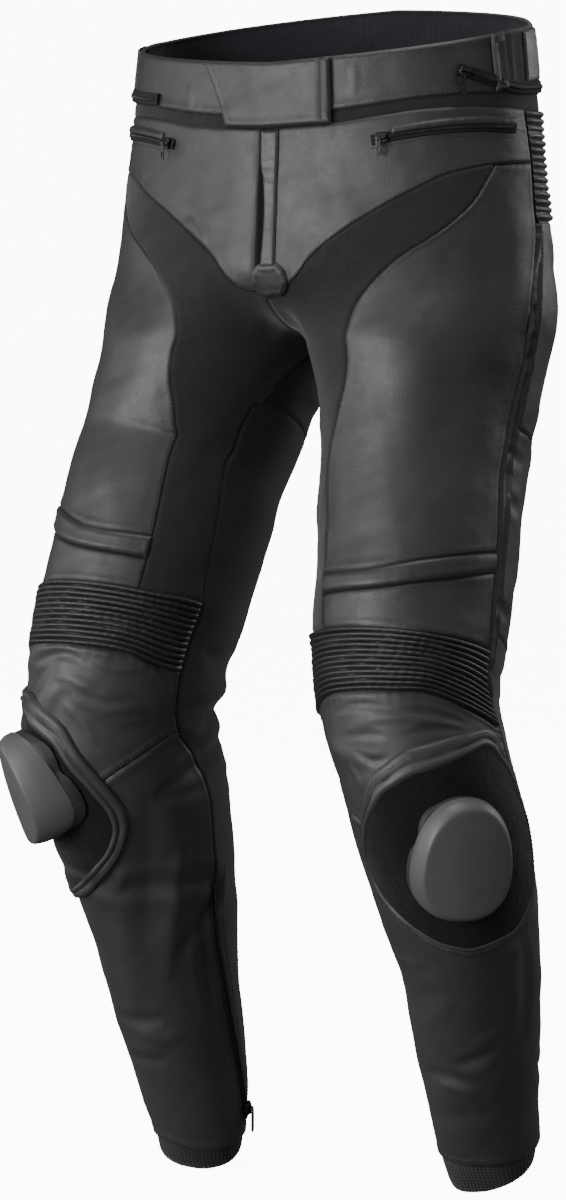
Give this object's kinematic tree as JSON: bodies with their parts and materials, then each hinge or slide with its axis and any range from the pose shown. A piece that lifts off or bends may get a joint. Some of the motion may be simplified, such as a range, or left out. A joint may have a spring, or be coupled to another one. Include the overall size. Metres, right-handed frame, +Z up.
{
  "type": "motorcycle trousers",
  "caption": "Motorcycle trousers in black leather and stretch fabric, in the shape they are worn in, with plastic knee sliders, ribbed stretch panels, zips and open hems.",
  "frame": {"origin": "middle of the waist, level with the top edge of the band at the centre front", "axes": "+Z up, the front faces -Y, the wearer's left is +X"},
  "size_m": [0.4607, 0.3335, 0.9976],
  "materials": {
    "leather": "black cowhide, fine grain, satin",
    "stretch_fabric": "matt woven stretch fabric",
    "waist_fabric": "matt elastic fabric, faintly blue",
    "knitted_cuff": "fine rib knit",
    "loop_pile": "deep black loop pile",
    "slider_plastic": "matt moulded plastic",
    "zip_tape": "woven tape with teeth",
    "zip_metal": "dark gunmetal, satin"
  },
  "bodies": {
    "trousers": {"waistband_front_left": "leather", "waistband_front_right": "leather", "waistband_back": "waist_fabric", "band_loop_left": "leather", "band_loop_right": "leather", "waist_strip_left": "waist_fabric", "waist_strip_right": "waist_fabric", "closure_tab": "leather", "front_yoke_left": "leather", "front_yoke_right": "leather", "fly_strip": "stretch_fabric", "fly_zip": "zip_tape", "fly_tab": "leather", "pocket_zip_left": "zip_tape", "pocket_zip_right": "zip_tape", "waist_zip": "zip_tape", "back_yoke": "leather", "seat_left": "leather", "seat_right": "leather", "front_stretch_left": "stretch_fabric", "front_stretch_right": "stretch_fabric", "thigh_front_left": "leather", "thigh_front_right": "leather", "knee_tuck_left": "leather", "knee_tuck_right": "leather", "knee_upper_left": "leather", "knee_upper_right": "leather", "knee_ribs_left": "leather", "knee_ribs_right": "leather", "knee_panel_left": "leather", "knee_panel_right": "leather", "shin_left": "leather", "shin_right": "leather", "side_strip_left": "leather", "side_strip_right": "leather", "slider_patch_left": "loop_pile", "slider_patch_right": "loop_pile", "knee_slider_left": "slider_plastic", "knee_slider_right": "slider_plastic", "thigh_back_left": "leather", "thigh_back_right": "leather", "thigh_inner_back_left": "stretch_fabric", "thigh_inner_back_right": "stretch_fabric", "knee_back_left": "stretch_fabric", "knee_back_right": "stretch_fabric", "calf_back_left": "leather", "calf_back_right": "leather", "calf_gusset_left": "stretch_fabric", "calf_gusset_right": "stretch_fabric", "calf_zip_left": "zip_tape", "calf_zip_right": "zip_tape", "cuff_left": "knitted_cuff", "cuff_right": "knitted_cuff"},
    "waist_pull": {"waist_zip_pull": "zip_metal"},
    "pocket_pull_left_body": {"pocket_pull_left": "zip_metal"},
    "pocket_pull_right_body": {"pocket_pull_right": "zip_metal"},
    "calf_pull_left_body": {"calf_pull_left": "zip_metal"},
    "calf_pull_right_body": {"calf_pull_right": "zip_metal"}
  },
  "joints": [
    {"name": "waist_pull_swing", "type": "hinge", "parent": "trousers", "child": "waist_pull", "pos_m": [0.15604, -0.0855, -0.01152], "axis": [-0.6752, -0.7376, 0], "range_deg": [0, 150]},
    {"name": "pocket_pull_left_swing", "type": "hinge", "parent": "trousers", "child": "pocket_pull_left_body", "pos_m": [0.10086, -0.12479, -0.06203], "axis": [-0.9424, -0.3344, 0], "range_deg": [0, 150]},
    {"name": "pocket_pull_right_swing", "type": "hinge", "parent": "trousers", "child": "pocket_pull_right_body", "pos_m": [-0.10086, -0.12479, -0.06203], "axis": [-0.9424, 0.3344, 0], "range_deg": [0, 150]},
    {"name": "calf_pull_left_swing", "type": "hinge", "parent": "trousers", "child": "calf_pull_left_body", "pos_m": [0.08741, 0.00816, -0.8674], "axis": [0.1778, 0.9841, 0], "range_deg": [0, 150]},
    {"name": "calf_pull_right_swing", "type": "hinge", "parent": "trousers", "child": "calf_pull_right_body", "pos_m": [-0.09431, 0.00917, -0.88708], "axis": [0.1863, -0.9825, 0], "range_deg": [0, 150]}
  ]
}
